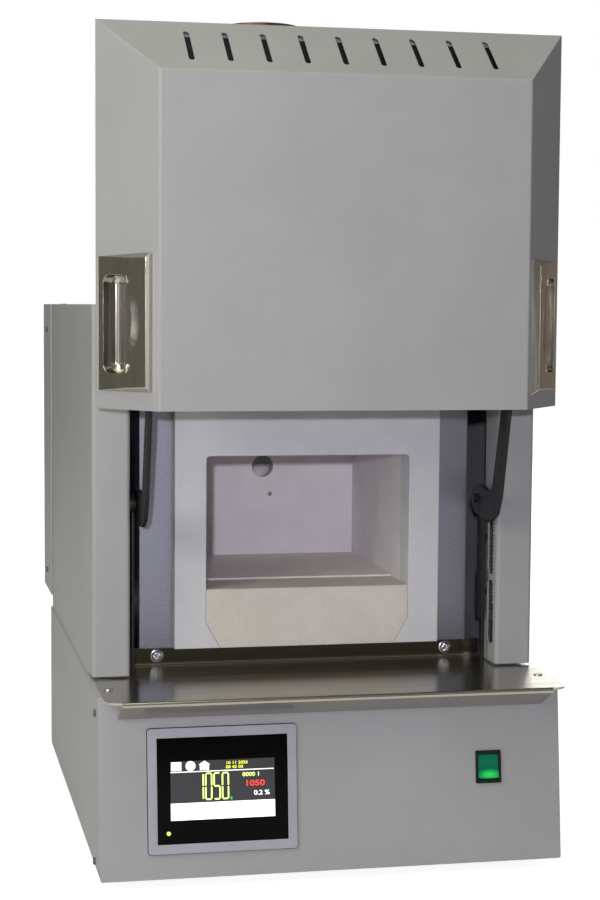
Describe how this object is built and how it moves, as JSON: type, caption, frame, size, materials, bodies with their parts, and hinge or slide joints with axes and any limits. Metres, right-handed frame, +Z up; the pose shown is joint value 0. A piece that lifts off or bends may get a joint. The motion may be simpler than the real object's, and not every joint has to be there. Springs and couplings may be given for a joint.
{
  "type": "ashing furnace",
  "caption": "Bench ashing furnace with a fibre-lined chamber, a lift-up door on level arms, a touch controller in the leaning front and a chimney.",
  "frame": {"origin": "on the bench, under the middle of the whole box of the part with its door raised", "axes": "+X to the right of a person who faces the door, +Y to the back, +Z up"},
  "size_m": [0.4384, 0.678, 0.829],
  "materials": {
    "painted_sheet": "fine satin powder coat, warm light grey",
    "galvanised_sheet": "zinc coated, faintly speckled",
    "tray_steel": "satin stainless",
    "handle_steel": "polished pressed stainless",
    "black_steel": "black oxide, satin",
    "bright_steel": "bright zinc plated",
    "spring_steel": "dark blued spring wire",
    "flue_steel": "heat-browned steel",
    "brass": "plain turned",
    "fibre": "matt vacuum-formed ceramic fibre",
    "chamber_fibre": "matt ceramic fibre, fired",
    "fire_brick": "pitted insulating firebrick",
    "hearth_ceramic": "matt silicon carbide plate",
    "flue_ceramic": "unglazed",
    "rubber": "matt",
    "bezel_plastic": "fine-grained",
    "black_plastic": "satin",
    "screen_glass": "glossy, dark",
    "rocker_green": "clear green lens",
    "aluminium": "plain extruded"
  },
  "bodies": {
    "housing": {"rubber_feet": "rubber", "base_shell": "painted_sheet", "front_panel": "painted_sheet", "base_back_panel": "painted_sheet", "cable_gland": "black_plastic", "fuse_holders": "black_plastic", "spill_tray": "tray_steel", "tray_screws": "bright_steel", "side_screws": "bright_steel", "controller_bezel": "bezel_plastic", "controller_glass": "screen_glass", "controller_housing": "black_plastic", "switch_housing": "black_plastic", "relay_heatsink": "aluminium", "solid_state_relay": "black_plastic", "terminal_block": "black_plastic", "power_supply": "galvanised_sheet", "casing_side_left": "painted_sheet", "casing_side_right": "painted_sheet", "casing_top": "painted_sheet", "front_header": "galvanised_sheet", "rear_cover": "painted_sheet", "inner_case": "galvanised_sheet", "case_stands": "galvanised_sheet", "front_collar": "fibre", "sill_brick": "fire_brick", "hearth_plate": "hearth_ceramic", "hearth_insulation": "chamber_fibre", "heater_plate_left": "chamber_fibre", "heater_plate_right": "chamber_fibre", "heater_leads": "bright_steel", "roof_insulation": "chamber_fibre", "rear_insulation": "chamber_fibre", "side_insulation": "fibre", "thermocouple": "flue_ceramic", "flue_tube": "flue_ceramic", "chimney": "flue_steel", "top_screws": "bright_steel", "pivot_brackets": "black_steel", "pivot_bushes": "brass", "spring_seats": "galvanised_sheet", "counter_spring_left": "spring_steel", "counter_spring_right": "spring_steel"},
    "lower_arms": {"lower_arm_left": "black_steel", "lower_arm_right": "black_steel", "crank_shafts": "black_steel"},
    "upper_arms": {"upper_arm_left": "black_steel", "upper_arm_right": "black_steel", "cross_shaft": "bright_steel"},
    "spring_rods_body": {"spring_rods": "bright_steel"},
    "door": {"door_cover": "painted_sheet", "door_back_plate": "black_steel", "door_insulation": "fibre", "handle_left": "handle_steel", "handle_right": "handle_steel", "door_brackets": "galvanised_sheet", "door_pivot_pins": "bright_steel"},
    "mains_rocker": {"switch_rocker": "rocker_green"}
  },
  "joints": [
    {"name": "door_lift", "type": "hinge", "parent": "housing", "child": "lower_arms", "pos_m": [0, -0.1925, 0.339], "axis": [1, 0, 0], "range_deg": [0, 125.5], "deforming": ["counter_spring_left", "counter_spring_right"]},
    {"name": "upper_arm_swing", "type": "hinge", "parent": "housing", "child": "upper_arms", "pos_m": [0, -0.1925, 0.439], "axis": [1, 0, 0], "range_deg": [0, 125.5]},
    {"name": "door_level", "type": "hinge", "parent": "lower_arms", "child": "door", "pos_m": [0, -0.2825, 0.45175], "axis": [1, 0, 0], "range_deg": [-125.5, 0]},
    {"name": "spring_rod_swing", "type": "hinge", "parent": "lower_arms", "child": "spring_rods_body", "pos_m": [0, -0.204, 0.3315], "axis": [1, 0, 0], "range_deg": [-137.8, 0]},
    {"name": "mains_rocker_tilt", "type": "hinge", "parent": "housing", "child": "mains_rocker", "pos_m": [0.1472, -0.30164, 0.09815], "axis": [1, 0, 0], "range_deg": [0, 16]}
  ],
  "couplings": [
    {"joint": "upper_arm_swing", "follows": "door_lift", "ratio": 1},
    {"joint": "door_level", "follows": "door_lift", "ratio": -1},
    {"joint": "spring_rod_swing", "follows": "door_lift", "ratio": -1.0975}
  ]
}
